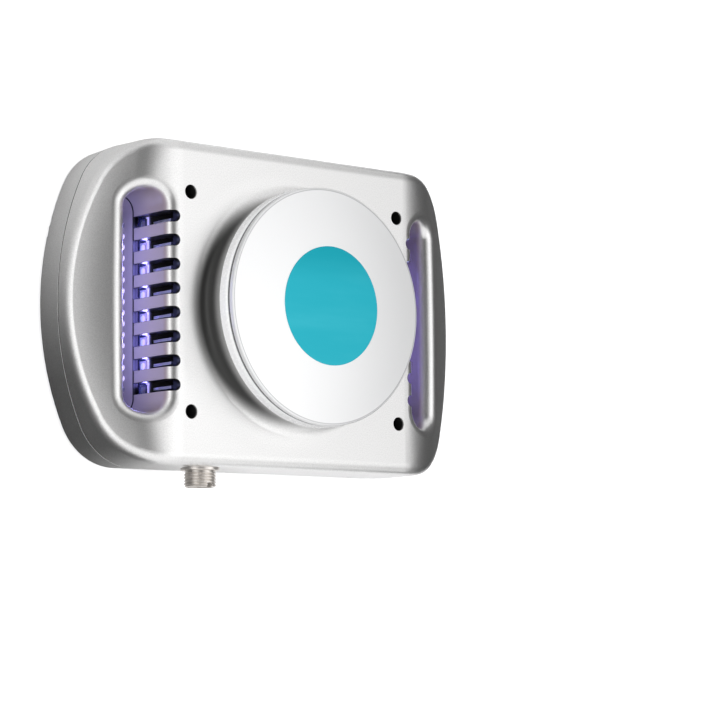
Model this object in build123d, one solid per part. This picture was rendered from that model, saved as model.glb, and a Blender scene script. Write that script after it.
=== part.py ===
from build123d import *
import math
import os

# A worn cooling applicator: a two-shell case with a strap slot at each end and a round cold plate on a pedestal,
# and inside it a heat sink, a fan, two light boards and a control board. Millimetres; the back lies on z = 0,
# +Z is the cold plate's normal, +X runs along the case and the supply socket is on the -Y side.

# Case form
end_room = 28.0
side_room = 21.0
end_radius = 147.0
corner_radius = 34.0
lower_height = 19.0
plateau_height = 50.0
wall = 2.6
floor_thickness = 2.6
upper_draft = 0.8
lower_draft = 3.6
edge_round = 6.0
back_round = 3.0
parting_chamfer = 0.4
bend_inset = 8.0
bend_radius = 46.0
end_slope = 31.0

# Strap slots
slot_gap = 12.6
slot_width = 17.0
slot_length = 110.0
slot_lip = 6.0
slot_step = 0.4
slot_back_round = 1.2

# Vents of the upper shell and the comb of the lower shell
vent_count = 8
vent_pitch = 11.9
vent_width = 5.8
vent_notch = 6.0
vent_rib = 1.5
vent_rib_depth = 5.4
comb_count = 16
comb_pitch = 5.5
comb_width = 3.0
comb_height = 12.0

# Pedestal, bezel and cold plate
pedestal_radius = 58.5
pedestal_rise = 14.0
pedestal_flare = 6.0
bezel_overhang = 2.0
bezel_height = 6.3
bezel_land = 14.0
bezel_round = 2.4
bezel_ledge = 2.5
bezel_spigot = 3.0
gasket_inset = 1.3
gasket_land = 1.0
gasket_thickness = 0.9
plate_radius = 60.0
plate_rim = 2.6
plate_crown = 4.1
plate_edge = 0.5
disc_radius = 30.0
disc_thickness = 0.25

# Cooling stack
module_size = 30.0
module_thickness = 3.8
module_gap = 1.0
module_ceramic = 0.8
module_step = 1.2
block_radius = 49.0
block_flange = 9.8
block_shoulder = 13.0
pad_thickness = 0.5
clamp_inset = 4.4
sink_overhang = 11.0
sink_width = 97.0
sink_base = 5.4
sink_corner = 2.0
sink_top_gap = 2.0
fin_count = 15
fin_thickness = 1.4

# Fan frame
fan_size = 120.0
fan_depth = 15.0
fan_corner = 6.0
fan_hole_inset = 7.5
fan_rim = 2.0
fan_boss_height = 4.0
fan_boss_radius = 4.0
frame_flange = 3.6
frame_column_radius = 4.2
arm_thickness = 2.4
arm_width = 5.0
arm_angles = (0, 90, 180, 270)
bearing_radius = 3.4
bearing_length = 9.8
bearing_wall = 1.3
bearing_seat = 0.8
fan_board_thickness = 1.2
fan_board_margin = 1.0

# Fan rotor and motor
hub_radius = 20.0
hub_margin = 1.0
hub_round = 1.2
rotor_clearance = 0.9
rotor_skin = 1.5
rotor_boss_wall = 1.8
rotor_boss_depth = 1.6
rotor_top_gap = 0.8
blade_count = 7
blade_tip_gap = 1.2
blade_root_sink = 0.8
blade_thickness = 1.6
blade_root_pitch = 42.0
blade_tip_pitch = 26.0
blade_margin = 0.4
shaft_radius = 1.5
shaft_clearance = 0.05
shaft_end_gap = 0.3
stator_radius = 14.6
stator_height = 6.0
stator_yoke = 2.0
stator_shoe = 2.0
stator_tooth = 3.6
stator_slot = 5.0
stator_lift = 0.8
magnet_gap = 0.6
magnet_height = 7.2
magnet_drop = 0.5
baffle_thickness = 1.5
baffle_rim = 1.5
baffle_land = 1.0

# Screws
well_gap = 7.4
well_y = 54.4
well_diameter = 7.2
well_floor = 27.0
boss_radius = 5.5
screw_boss_wall = 2.2
roof_skin = 1.0
floor_skin = 1.2
case_screw_radius = 1.75
case_screw_length = 20.4
case_screw_head_radius = 3.2
case_screw_head_height = 2.2
small_screw_radius = 1.5
small_head_radius = 2.75
small_head_height = 1.8
head_round_share = 0.45
drive_share = 0.42
drive_depth = 0.9
sink_screw_inset_x = 14.5
sink_screw_inset_y = 3.2
bush_radius = 2.6
bush_flange_radius = 3.3
bush_flange = 0.8

# Supply socket
socket_x = -51.0
socket_z = 35.0
thread_radius = 8.0
thread_length = 8.2
thread_chamfer = 0.5
socket_bore_radius = 6.6
flange_radius = 9.5
flange_thickness = 1.6
flange_sink = 0.1
socket_inner_length = 9.0
key_width = 2.6
key_depth = 2.0
key_rise = 1.5
nut_flats = 19.0
nut_thickness = 2.4
washer_rim = 1.7
washer_thickness = 0.8
insert_face = 4.6
pin_radius = 0.75
pin_circle = 3.4
pin_length = 4.0
pin_tail = 3.0
pin_round = 0.45

# Boards
board_thickness = 1.6
light_board_gap = 9.4
light_board_height = 9.0
light_board_margin = 4.0
emitter_size = 4.4
emitter_depth = 1.4
emitter_lift = 2.6
control_length = 80.0
control_height = 15.0
control_lift = 1.0
post_inset = 3.0
post_length = 4.0
post_width = 5.6
post_height = 12.0
capacitor_radius = 4.0
capacitor_length = 7.5
capacitor_shares = (-0.05, 0.0625, 0.175)
transistor_width = 6.5
transistor_depth = 2.3
transistor_height = 6.1
transistor_shares = (-0.3625, -0.2625, -0.1625)
chip_share = 0.3125
chip_size = 7.0
chip_depth = 1.2
header_width = 7.5
header_depth = 4.0
header_height = 6.0
header_inset = 0.6
header_gap = 2.4
header_shares = (-0.375, -0.175, 0.0, 0.1875, 0.375)

# Sensor and leads
sensor_radius = 1.5
sensor_depth = 9.0
sensor_x = 15.0
module_lead_x = -8.0
supply_lead_thickness = 3.0
module_lead_thickness = 2.4
sensor_lead_thickness = 1.6
fan_lead_thickness = 2.0
light_lead_thickness = 1.4
light_lead_offset = 2.8
lead_slot = 5.0
lead_rise = 9.0

# Clearances
snug = 0.05
fit = 0.2
air = 0.4

# Levels, lines and radii worked out from the sizes above
well_x = fan_size / 2 + well_gap
slot_inner = well_x + slot_gap
slot_outer = slot_inner + slot_width
case_length = 2 * (slot_outer + end_room)
case_width = fan_size + 2 * side_room
bend_start = slot_inner - bend_inset
bezel_radius = pedestal_radius + bezel_overhang
bezel_bore = plate_radius - bezel_land
bezel_level = plateau_height + pedestal_rise
gasket_level = bezel_level + bezel_height
ledge_level = gasket_level - bezel_ledge
plate_level = gasket_level + gasket_thickness
rim_level = plate_level + plate_rim
roof_level = plateau_height - wall
sink_top = roof_level - sink_top_gap
sink_length = fan_size + 2 * sink_overhang
fin_top = sink_top - sink_base
fan_hole_spacing = fan_size - 2 * fan_hole_inset
fan_bore_radius = fan_size / 2 - fan_rim
fan_level = floor_thickness + fan_boss_height
seat_level = fan_level + arm_thickness
cup_level = seat_level + rotor_clearance
stator_level = seat_level + fan_board_thickness + stator_lift
baffle_level = fan_level + fan_depth
rotor_level = baffle_level - rotor_top_gap
baffle_top = baffle_level + baffle_thickness
fin_level = baffle_top + air
module_top = sink_top + module_thickness
block_boss_radius = block_radius - block_shoulder
clamp_circle = block_radius - clamp_inset
flange_top = module_top + block_flange
clamp_seat = flange_top + bush_flange
sensor_z = module_top + block_flange / 2
sensor_mouth = -math.sqrt(block_radius**2 - sensor_x**2)
bearing_tube = bearing_radius + bearing_wall
light_board_x = slot_inner - light_board_gap
light_board_level = baffle_level - light_board_height
control_level = floor_thickness + control_lift
control_y = -(fan_size / 2 + header_gap + header_depth + board_thickness / 2)
board_outer = control_y - board_thickness / 2
board_inner = control_y + board_thickness / 2
header_row = board_inner + header_depth / 2
header_level = control_level + control_height - header_height - header_inset
header_top = header_level + header_height
header_places = [control_length * share for share in header_shares]

# The socket's flange seats on a flat sunk just under the drafted wall.
socket_rise = socket_z - lower_height
draft_slope = math.tan(math.radians(upper_draft))
socket_seat = -case_width / 2 + (socket_rise + flange_radius) * draft_slope + flange_sink
socket_inner_face = -case_width / 2 + wall + socket_rise * draft_slope
washer_start = socket_seat - socket_inner_face - air / 2


# Closed plan outline of the case: long straight sides, round corners and shallow end arcs, all tangent.
def case_outline(inset, level):
    half_length = case_length / 2 - inset
    half_width = case_width / 2 - inset
    end_r = end_radius - inset
    corner_r = corner_radius - inset
    end_x = half_length - end_r
    corner_y = half_width - corner_r
    corner_x = end_x + math.sqrt((end_r - corner_r) ** 2 - corner_y**2)
    turn = math.degrees(math.atan2(corner_y, corner_x - end_x))
    edges = [
        Line((-corner_x, -half_width), (corner_x, -half_width)),
        CenterArc((corner_x, -corner_y), corner_r, -90, 90 - turn),
        CenterArc((end_x, 0), end_r, -turn, 2 * turn),
        CenterArc((corner_x, corner_y), corner_r, turn, 90 - turn),
        Line((corner_x, half_width), (-corner_x, half_width)),
        CenterArc((-corner_x, corner_y), corner_r, 90, 90 - turn),
        CenterArc((-end_x, 0), end_r, 180 - turn, 2 * turn),
        CenterArc((-corner_x, -corner_y), corner_r, 180 + turn, 90 - turn),
    ]
    return Pos(0, 0, level) * make_face(edges)


# Everything under the top surface, lowered by the given depth: plateau, bend and straight fall to each end.
def under_top(depth, bottom):
    top = plateau_height - depth
    radius = bend_radius - depth
    angle = math.radians(end_slope)
    bend_x = bend_start + radius * math.sin(angle)
    bend_z = top - radius * (1 - math.cos(angle))
    far_x = case_length / 2 + 10
    far_z = bend_z - (far_x - bend_x) * math.tan(angle)
    half = [
        Line((0, top), (bend_start, top)),
        CenterArc((bend_start, top - radius), radius, 90, -end_slope),
        Line((bend_x, bend_z), (far_x, far_z)),
        Line((far_x, far_z), (far_x, bottom)),
        Line((far_x, bottom), (0, bottom)),
        Line((0, bottom), (0, top)),
    ]
    profile = make_face(half)
    profile += mirror(profile, about=Plane.YZ)
    return extrude(Plane.XZ * profile, amount=case_width / 2 + 10, both=True)


def top_rim_edges(solid):
    rim = []
    for edge in solid.edges():
        box = edge.bounding_box()
        crosses = box.size.X < 0.01 and abs(box.center().Y) < 0.01
        if box.min.Z > lower_height + 1 and not crosses:
            rim.append(edge)
    return rim


# Strap slot cut with full-round ends, grown by the given offset.
def slot_prism(side, grow, bottom, top):
    centre = side * (slot_inner + slot_width / 2)
    outline = SlotOverall(slot_length + 2 * grow, slot_width + 2 * grow, rotation=90)
    return Pos(centre, 0, bottom) * extrude(outline, amount=top - bottom)


# Edges of a solid that lie within a slot's outline, grown by the given offset, above the given level.
def slot_edges(solid, side, above, grow=0):
    found = []
    for edge in solid.edges():
        box = edge.bounding_box()
        near = min(side * box.min.X, side * box.max.X)
        far = max(side * box.min.X, side * box.max.X)
        within = near > slot_inner - grow - 0.1 and far < slot_outer + grow + 0.1
        if within and box.min.Z > above and abs(box.center().Y) < slot_length / 2 + grow + 0.1:
            found.append(edge)
    return found


def row(count, pitch):
    return [(index - (count - 1) / 2) * pitch for index in range(count)]


def corners(x, y):
    return [(x, y), (-x, y), (-x, -y), (x, -y)]


def rod(radius, x, y, bottom, top):
    return Pos(x, y, bottom) * Cylinder(radius, top - bottom, align=(Align.CENTER, Align.CENTER, Align.MIN))


def block(x, y, bottom, length, width, height):
    return Pos(x, y, bottom) * Box(length, width, height, align=(Align.CENTER, Align.CENTER, Align.MIN))


def ring(outer, inner, bottom, top):
    return rod(outer, 0, 0, bottom, top) - rod(inner, 0, 0, bottom - 1, top + 1)


def case_screw_places():
    return corners(well_x, well_y)


def sink_screw_places():
    return corners(sink_length / 2 - sink_screw_inset_x, sink_width / 2 - sink_screw_inset_y)


def fan_screw_places():
    return corners(fan_hole_spacing / 2, fan_hole_spacing / 2)


def clamp_places():
    return [(clamp_circle, 0), (0, clamp_circle), (-clamp_circle, 0), (0, -clamp_circle)]


# One vent in plan: straight through the slot's wall and round where it notches the plateau.
def vent_prism(side, y):
    radius = vent_width / 2
    notch_x = slot_inner - vent_notch + radius
    reach = slot_inner + slot_lip + radius
    middle = (notch_x + reach) / 2
    cut = Pos(side * notch_x, y) * Circle(radius)
    cut += Pos(side * middle, y) * Rectangle(reach - notch_x, vent_width)
    return Pos(0, 0, lower_height - 1) * extrude(cut, amount=plateau_height - lower_height + 2)


# Outside of the upper shell: drafted sides, bent top with a rounded rim, flared pedestal and two lipped slots.
def upper_form():
    body = extrude(case_outline(0, lower_height), amount=plateau_height, taper=upper_draft)
    body = body & under_top(0, lower_height)
    body = fillet(top_rim_edges(body), edge_round)
    body = chamfer(body.edges().group_by(Axis.Z)[0], parting_chamfer)
    body += rod(pedestal_radius, 0, 0, plateau_height - 1, bezel_level)
    circles = body.edges().filter_by(GeomType.CIRCLE)
    foot = circles.filter_by_position(Axis.Z, plateau_height - 0.1, plateau_height + 0.1)
    body = fillet([edge for edge in foot if abs(edge.radius - pedestal_radius) < 0.1], pedestal_flare)
    for side in (-1, 1):
        body -= slot_prism(side, 0, lower_height - 1, plateau_height + 1)
        body = fillet(slot_edges(body, side, lower_height + 1), slot_lip)
    return body


# Space inside the upper shell, less what stands in it: slot walls, ribs between the vents and screw bosses.
def upper_hollow():
    hollow = extrude(case_outline(wall, lower_height - 1), amount=plateau_height, taper=upper_draft)
    hollow = hollow & under_top(wall, lower_height - 1)
    hollow = fillet(top_rim_edges(hollow), edge_round - wall)
    hollow += rod(pedestal_radius - wall, 0, 0, roof_level - 1, bezel_level + 1)
    ribs = []
    for side in (-1, 1):
        hollow -= slot_prism(side, wall, lower_height - 2, plateau_height + 1)
        hollow = fillet(slot_edges(hollow, side, lower_height + 1, wall), slot_lip - wall)
        rib_x = side * (slot_inner - wall - (vent_rib_depth - 1) / 2)
        for y in row(vent_count, vent_pitch):
            for offset in (-1, 1):
                rib_y = y + offset * (vent_width + vent_rib) / 2
                ribs.append(block(rib_x, rib_y, fin_level, vent_rib_depth + 1, vent_rib, plateau_height))
    hollow -= ribs
    for x, y in case_screw_places():
        hollow -= rod(boss_radius, x, y, lower_height - 2, plateau_height)
    for x, y in sink_screw_places():
        hollow -= rod(small_screw_radius + screw_boss_wall, x, y, sink_top, plateau_height)
    return hollow


def upper_shell():
    body = upper_form() - upper_hollow()
    cuts = []
    for side in (-1, 1):
        for y in row(vent_count, vent_pitch):
            cuts.append(vent_prism(side, y))
    body -= cuts
    for x, y in case_screw_places():
        body -= rod(well_diameter / 2, x, y, well_floor, plateau_height + 1)
        body -= rod(case_screw_radius + fit, x, y, lower_height - 1, well_floor + 1)
    for x, y in sink_screw_places():
        body -= rod(small_screw_radius, x, y, sink_top - 1, plateau_height - roof_skin)
    body -= socket_rod(thread_radius + fit, -wall - flange_radius, flange_thickness)
    return body - socket_rod(flange_radius + fit, 0, flange_thickness)


def lower_shell():
    body = extrude(case_outline(0, lower_height), amount=-lower_height, taper=lower_draft)
    body = fillet(body.edges().group_by(Axis.Z)[0], back_round)
    body = chamfer(body.edges().group_by(Axis.Z)[-1], parting_chamfer)
    for side in (-1, 1):
        body -= slot_prism(side, -slot_step, -1, lower_height + 1)
        mouth = [edge for edge in slot_edges(body, side, -1) if edge.bounding_box().max.Z < 0.1]
        body = fillet(mouth, slot_back_round)

    depth = lower_height + 1 - floor_thickness
    hollow = extrude(case_outline(wall, lower_height + 1), amount=-depth, taper=lower_draft)
    for side in (-1, 1):
        hollow -= slot_prism(side, wall, 0, lower_height + 2)
    for x, y in case_screw_places():
        hollow -= rod(boss_radius, x, y, 0, lower_height + 2)
    for x, y in fan_screw_places():
        hollow -= rod(fan_boss_radius, x, y, 0, fan_level)
    for side in (-1, 1):
        post_x = side * (control_length / 2 - post_inset)
        post = block(post_x, control_y, 0, post_length, post_width, post_height)
        post -= block(post_x, control_y, control_level, post_length + 1, board_thickness + fit, post_height)
        hollow -= post
    body -= hollow

    combs = []
    for side in (-1, 1):
        start = side * (slot_inner - wall - 1)
        for y in row(comb_count, comb_pitch):
            top = comb_height - comb_width / 2
            profile = Pos(y, top / 2 - 1) * Rectangle(comb_width, top + 2)
            profile += Pos(y, top) * Circle(comb_width / 2)
            combs.append(Pos(start, 0, 0) * extrude(Plane.YZ * profile, amount=side * (wall + 2)))
    body -= combs
    for x, y in case_screw_places():
        body -= rod(case_screw_radius, x, y, floor_thickness, lower_height + 1)
    for x, y in fan_screw_places():
        body -= rod(small_screw_radius, x, y, floor_skin, fan_level + 1)
    return body


def revolved(points):
    return revolve(Plane.XZ * make_face(Polyline(*points, close=True)), axis=Axis.Z)


# The bezel drops its spigot into the pedestal's bore and rounds off under the plate.
def bezel_ring():
    spigot = pedestal_radius - wall - fit
    body = revolved(
        [
            (bezel_bore, ledge_level),
            (bezel_bore, gasket_level),
            (bezel_radius, gasket_level),
            (bezel_radius, bezel_level),
            (spigot, bezel_level),
            (spigot, bezel_level - bezel_spigot),
            (spigot - wall, bezel_level - bezel_spigot),
            (spigot - wall, ledge_level),
        ]
    )
    rim = [edge for edge in body.edges().group_by(Axis.Z)[-1] if edge.radius > pedestal_radius]
    return fillet(rim, bezel_round)


def plate_gasket():
    return ring(plate_radius - gasket_inset, bezel_bore + gasket_land, gasket_level, plate_level)


# Height of the crowned plate at a radius.
def crown_level(radius):
    span = plate_radius - plate_edge
    sphere = (span**2 + plate_crown**2) / (2 * plate_crown)
    return rim_level + plate_crown - sphere + math.sqrt(sphere**2 - radius**2)


def cold_plate():
    edge = plate_radius - plate_edge
    top = crown_level(0)
    profile = make_face(
        [
            Line((0, plate_level), (plate_radius, plate_level)),
            Line((plate_radius, plate_level), (plate_radius, rim_level - plate_edge)),
            Line((plate_radius, rim_level - plate_edge), (edge, rim_level)),
            TangentArc((0, top), (edge, rim_level), tangent=(1, 0)),
            Line((0, top), (0, plate_level)),
        ]
    )
    return revolve(Plane.XZ * profile, axis=Axis.Z)


def plate_disc():
    low = crown_level(disc_radius)
    top = crown_level(0)
    profile = make_face(
        [
            TangentArc((0, top), (disc_radius, low), tangent=(1, 0)),
            Line((disc_radius, low), (disc_radius, low + disc_thickness)),
            TangentArc((0, top + disc_thickness), (disc_radius, low + disc_thickness), tangent=(1, 0)),
            Line((0, top + disc_thickness), (0, top)),
        ]
    )
    return revolve(Plane.XZ * profile, axis=Axis.Z)


def plate_pad():
    return rod(block_boss_radius, 0, 0, plate_level - pad_thickness, plate_level)


def cold_block():
    body = rod(block_radius, 0, 0, module_top, flange_top)
    body += rod(block_boss_radius, 0, 0, flange_top, plate_level - pad_thickness)
    for x, y in clamp_places():
        body -= rod(bush_radius + fit, x, y, module_top - 1, flange_top + 1)
    probe = Plane(origin=(sensor_x, -block_radius, sensor_z), z_dir=(0, 1, 0))
    reach = block_radius + sensor_mouth + sensor_depth
    return body - probe * extrude(Circle(sensor_radius + snug), amount=reach)


# Foam collar between the cold block and the pedestal, relieved over the clamp screws and for the leads.
def insulation_collar():
    bore = pedestal_radius - wall - air
    neck = bore - wall - air
    shoulder = bezel_level - bezel_spigot - air
    top = ledge_level - air
    body = revolved(
        [
            (block_radius + air, sink_top),
            (bore, sink_top),
            (bore, shoulder),
            (neck, shoulder),
            (neck, top),
            (block_boss_radius + air, top),
            (block_boss_radius + air, flange_top + air),
            (block_radius + air, flange_top + air),
        ]
    )
    for x, y in clamp_places():
        body -= rod(bush_flange_radius + air, x, y, flange_top, clamp_seat + small_head_height + air)
    slot_y = -(block_radius + bore) / 2
    slot_reach = bore - block_radius + 2 * lead_slot
    body -= block(module_lead_x, slot_y, sink_top - 1, lead_slot, slot_reach, module_thickness + 1)
    sensor_room = sensor_z - sink_top + lead_slot / 2
    return body - block(sensor_x, slot_y, sink_top - 1, lead_slot, slot_reach, sensor_room)


def cooling_module(x, y):
    inner = module_size - 2 * module_step
    body = block(x, y, sink_top, module_size, module_size, module_ceramic)
    body += block(x, y, sink_top + module_ceramic, inner, inner, module_thickness - 2 * module_ceramic)
    body += block(x, y, module_top - module_ceramic, module_size, module_size, module_ceramic)
    return body


def heat_sink():
    base = RectangleRounded(sink_length, sink_width, sink_corner)
    body = Pos(0, 0, fin_top) * extrude(base, amount=sink_base)
    fin_height = fin_top - fin_level
    body += [block(0, y, fin_level, sink_length, fin_thickness, fin_height) for y in row(fin_count, vent_pitch / 2)]
    for x, y in clamp_places():
        body -= rod(small_screw_radius, x, y, fin_top + floor_skin, sink_top + 1)
    for x, y in sink_screw_places():
        body -= rod(small_screw_radius + fit, x, y, fin_top - 1, sink_top + 1)
    return body


# Pan-head screw pointing down from the level its head sits on, or up when the length is negative.
def screw(x, y, seat, length, radius, head_radius, head_height):
    way = 1 if length > 0 else -1
    top = seat + way * head_height
    shank = rod(radius, x, y, min(seat, seat - length), max(seat, seat - length))
    head = rod(head_radius, x, y, min(seat, top), max(seat, top))
    head = fillet(head.edges().group_by(Axis.Z)[-1 if way > 0 else 0], head_height * head_round_share)
    floor = top - way * drive_depth
    return shank + head - rod(head_radius * drive_share, x, y, min(floor, top), max(floor, top))


def small_screws(places, seat, length):
    head = (small_head_radius, small_head_height)
    return [screw(x, y, seat, length, small_screw_radius, *head) for x, y in places]


def clamp_screws():
    return small_screws(clamp_places(), clamp_seat, clamp_seat - fin_top - floor_skin - fit)


def sink_screws():
    return small_screws(sink_screw_places(), fin_top, fin_top + roof_skin + fit - plateau_height)


def fan_screws():
    return small_screws(fan_screw_places(), baffle_top, baffle_top - floor_skin - fit)


def case_screws():
    head = (case_screw_head_radius, case_screw_head_height)
    places = case_screw_places()
    return [screw(x, y, well_floor, case_screw_length, case_screw_radius, *head) for x, y in places]


def clamp_bushes():
    bushes = []
    for x, y in clamp_places():
        bush = rod(bush_radius, x, y, module_top, flange_top)
        bush += rod(bush_flange_radius, x, y, flange_top, clamp_seat)
        bushes.append(bush - rod(small_screw_radius + fit / 2, x, y, module_top - 1, clamp_seat + 1))
    return bushes


# Square fan frame with flanges at both faces, four screw columns and a motor seat on four arms.
def fan_frame():
    outline = RectangleRounded(fan_size, fan_size, fan_corner)
    body = Pos(0, 0, fan_level) * extrude(outline, amount=fan_depth)
    waist = Pos(0, 0, fan_level + frame_flange) * extrude(outline, amount=fan_depth - 2 * frame_flange)
    waist -= rod(fan_size / 2, 0, 0, fan_level, baffle_level)
    for x, y in fan_screw_places():
        waist -= rod(frame_column_radius, x, y, fan_level, baffle_level)
    body -= waist
    body -= rod(fan_bore_radius, 0, 0, fan_level - 1, baffle_level + 1)
    seat = rod(hub_radius + hub_margin, 0, 0, fan_level, seat_level)
    reach = fan_bore_radius + 1
    for angle in arm_angles:
        seat += Rot(0, 0, angle) * block(reach / 2, 0, fan_level, reach, arm_width, arm_thickness)
    seat += rod(bearing_tube, 0, 0, fan_level, fan_level + bearing_seat + bearing_length)
    body += seat
    body -= rod(bearing_radius, 0, 0, fan_level + bearing_seat, baffle_level)
    for x, y in fan_screw_places():
        body -= rod(small_screw_radius + fit, x, y, fan_level - 1, baffle_level + 1)
    return body


def fan_bearing():
    low = fan_level + bearing_seat
    return ring(bearing_radius, shaft_radius + shaft_clearance, low, low + bearing_length)


def fan_board():
    top = seat_level + fan_board_thickness
    return ring(stator_radius + fan_board_margin, bearing_tube + fit, seat_level, top)


# Four-pole stator core pushed on the bearing tube.
def fan_stator():
    top = stator_level + stator_height
    body = rod(bearing_tube + stator_yoke, 0, 0, stator_level, top)
    shoes = ring(stator_radius, stator_radius - stator_shoe, stator_level, top)
    reach = stator_radius - stator_shoe / 2
    for angle in arm_angles:
        body += Rot(0, 0, angle) * block(reach / 2, 0, stator_level, reach, stator_tooth, stator_height)
        gap = block(stator_radius, 0, stator_level - 1, hub_radius / 2, stator_slot, stator_height + 2)
        shoes -= Rot(0, 0, angle + 45) * gap
    return body + shoes - rod(bearing_tube, 0, 0, stator_level - 1, top + 1)


# Blade lofted from a steep root on the hub to a flatter tip, both as deep as the cup allows.
def fan_blade():
    height = rotor_level - cup_level - 2 * blade_margin
    middle = (rotor_level + cup_level) / 2
    root = (hub_radius - blade_root_sink, blade_root_pitch)
    tip = (fan_bore_radius - blade_tip_gap, blade_tip_pitch)
    sections = []
    for radius, pitch in (root, tip):
        slant = math.radians(pitch)
        chord = (height - blade_thickness * math.cos(slant)) / math.sin(slant)
        plane = Plane(origin=(radius, 0, middle), x_dir=(0, 1, 0), z_dir=(1, 0, 0))
        sections.append(plane * Rot(0, 0, pitch) * Rectangle(chord, blade_thickness))
    return loft(sections)


def fan_rotor():
    under = rotor_level - rotor_skin
    cup = rod(hub_radius, 0, 0, cup_level, rotor_level)
    cup = fillet(cup.edges().group_by(Axis.Z)[-1], hub_round)
    cup -= rod(hub_radius - rotor_skin, 0, 0, cup_level - 1, under)
    cup += rod(shaft_radius + rotor_boss_wall, 0, 0, under - rotor_boss_depth, under)
    blade = fan_blade()
    body = cup + [Rot(0, 0, index * 360 / blade_count) * blade for index in range(blade_count)]
    return body - rod(shaft_radius, 0, 0, cup_level, rotor_level - rotor_skin / 2)


def fan_magnet():
    low = cup_level + magnet_drop
    return ring(hub_radius - rotor_skin, stator_radius + magnet_gap, low, low + magnet_height)


def fan_shaft():
    return rod(shaft_radius, 0, 0, fan_level + bearing_seat + shaft_end_gap, rotor_level - rotor_skin / 2)


# Sheet over the fan between the intake below and the fins above. It stops at the light boards, which hang from it.
def air_baffle():
    end_x = light_board_x + board_thickness
    side_x = well_x - boss_radius - air
    side_y = well_y - boss_radius - air
    edge_y = case_width / 2 - wall - baffle_rim
    sheet = Rectangle(2 * end_x, 2 * side_y)
    sheet += Pos(0, (edge_y - fan_size / 2) / 2) * Rectangle(2 * side_x, edge_y + fan_size / 2)
    sheet -= Circle(fan_bore_radius - baffle_land)
    for x, y in fan_screw_places():
        sheet -= Pos(x, y) * Circle(small_screw_radius + fit)
    return Pos(0, 0, baffle_level) * extrude(sheet, amount=baffle_thickness)


def light_board(side):
    length = (vent_count - 1) * vent_pitch + 2 * light_board_margin
    x = side * (light_board_x + board_thickness / 2)
    return block(x, 0, light_board_level, board_thickness, length, light_board_height)


def emitters(side):
    x = side * (light_board_x + board_thickness + emitter_depth / 2)
    level = light_board_level + emitter_lift
    return [block(x, y, level, emitter_depth, emitter_size, emitter_size) for y in row(vent_count, vent_pitch)]


def control_board():
    return block(0, control_y, control_level, control_length, board_thickness, control_height)


def capacitors():
    middle = control_level + control_height / 2
    cans = []
    for share in capacitor_shares:
        plane = Plane(origin=(control_length * share, board_outer, middle), z_dir=(0, -1, 0))
        cans.append(plane * extrude(Circle(capacitor_radius), amount=capacitor_length))
    return cans


def power_transistors():
    y = board_outer - transistor_depth / 2
    low = control_level + (control_height - transistor_height) / 2
    size = (transistor_width, transistor_depth, transistor_height)
    return [block(control_length * share, y, low, *size) for share in transistor_shares]


def controller_chip():
    low = control_level + (control_height - chip_size) / 2
    x = control_length * chip_share
    return block(x, board_outer - chip_depth / 2, low, chip_size, chip_depth, chip_size)


def headers():
    size = (header_width, header_depth, header_height)
    return [block(x, header_row, header_level, *size) for x in header_places]


# Rod about the socket's axis or beside it; distances run outwards from the flange's seat.
def socket_rod(radius, start, end, x=0, z=0):
    plane = Plane(origin=(socket_x + x, socket_seat - start, socket_z + z), z_dir=(0, -1, 0))
    return plane * extrude(Circle(radius), amount=end - start)


def socket_shell():
    tip = flange_thickness + thread_length
    body = socket_rod(flange_radius, 0, flange_thickness)
    body += socket_rod(thread_radius, -socket_inner_length, tip)
    body = chamfer(body.edges().group_by(Axis.Y)[0], thread_chamfer)
    body -= socket_rod(socket_bore_radius, -socket_inner_length - 1, tip + 1)
    key = Box(key_width, 2 * key_depth, 2 * key_rise)
    return body - Pos(socket_x, socket_seat - tip, socket_z + socket_bore_radius) * key


def pin_places():
    step = pin_circle / math.sqrt(2)
    return corners(step, step)


def socket_insert():
    body = socket_rod(socket_bore_radius - snug, -socket_inner_length, insert_face)
    for x, z in pin_places():
        body -= socket_rod(pin_radius, -socket_inner_length - 1, insert_face + 1, x, z)
    return body


def socket_pins():
    pins = []
    for x, z in pin_places():
        pin = socket_rod(pin_radius, -socket_inner_length - pin_tail, insert_face + pin_length, x, z)
        pins.append(fillet(pin.edges().group_by(Axis.Y)[0], pin_round))
    return pins


def socket_washer():
    low = washer_start - washer_thickness
    body = socket_rod(thread_radius + washer_rim, low, washer_start)
    return body - socket_rod(thread_radius + snug, low - 1, 0)


def socket_nut():
    start = washer_start - washer_thickness
    plane = Plane(origin=(socket_x, socket_seat - start, socket_z), z_dir=(0, 1, 0))
    body = plane * extrude(RegularPolygon(nut_flats / 2, 6, major_radius=False), amount=nut_thickness)
    return body - socket_rod(thread_radius + snug, start - nut_thickness - 1, 0)


def plate_sensor():
    plane = Plane(origin=(sensor_x, sensor_mouth, sensor_z), z_dir=(0, 1, 0))
    return plane * extrude(Circle(sensor_radius), amount=sensor_depth)


# Round lead along straight runs joined by tangent arcs.
def lead(name, points, radii, thickness):
    path = FilletPolyline(*points, radius=radii)
    start = Plane(origin=path @ 0, z_dir=path % 0)
    tube = sweep(start * Circle(thickness / 2), path=path)
    share = tube.volume / (path.length * math.pi * thickness**2 / 4)
    print(name, "radii", radii, "volume over section times length", round(share, 4))
    return tube


def supply_lead():
    x = header_places[0]
    start_y = socket_seat + socket_inner_length + pin_tail
    turn_y = start_y + lead_rise
    points = [
        (socket_x, start_y, socket_z),
        (socket_x, turn_y, socket_z),
        ((socket_x + x) / 2, turn_y, socket_z - supply_lead_thickness / 2),
        (x, header_row, header_top + lead_rise),
        (x, header_row, header_top),
    ]
    return lead("supply lead", points, [4, 6, 4], supply_lead_thickness)


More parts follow.
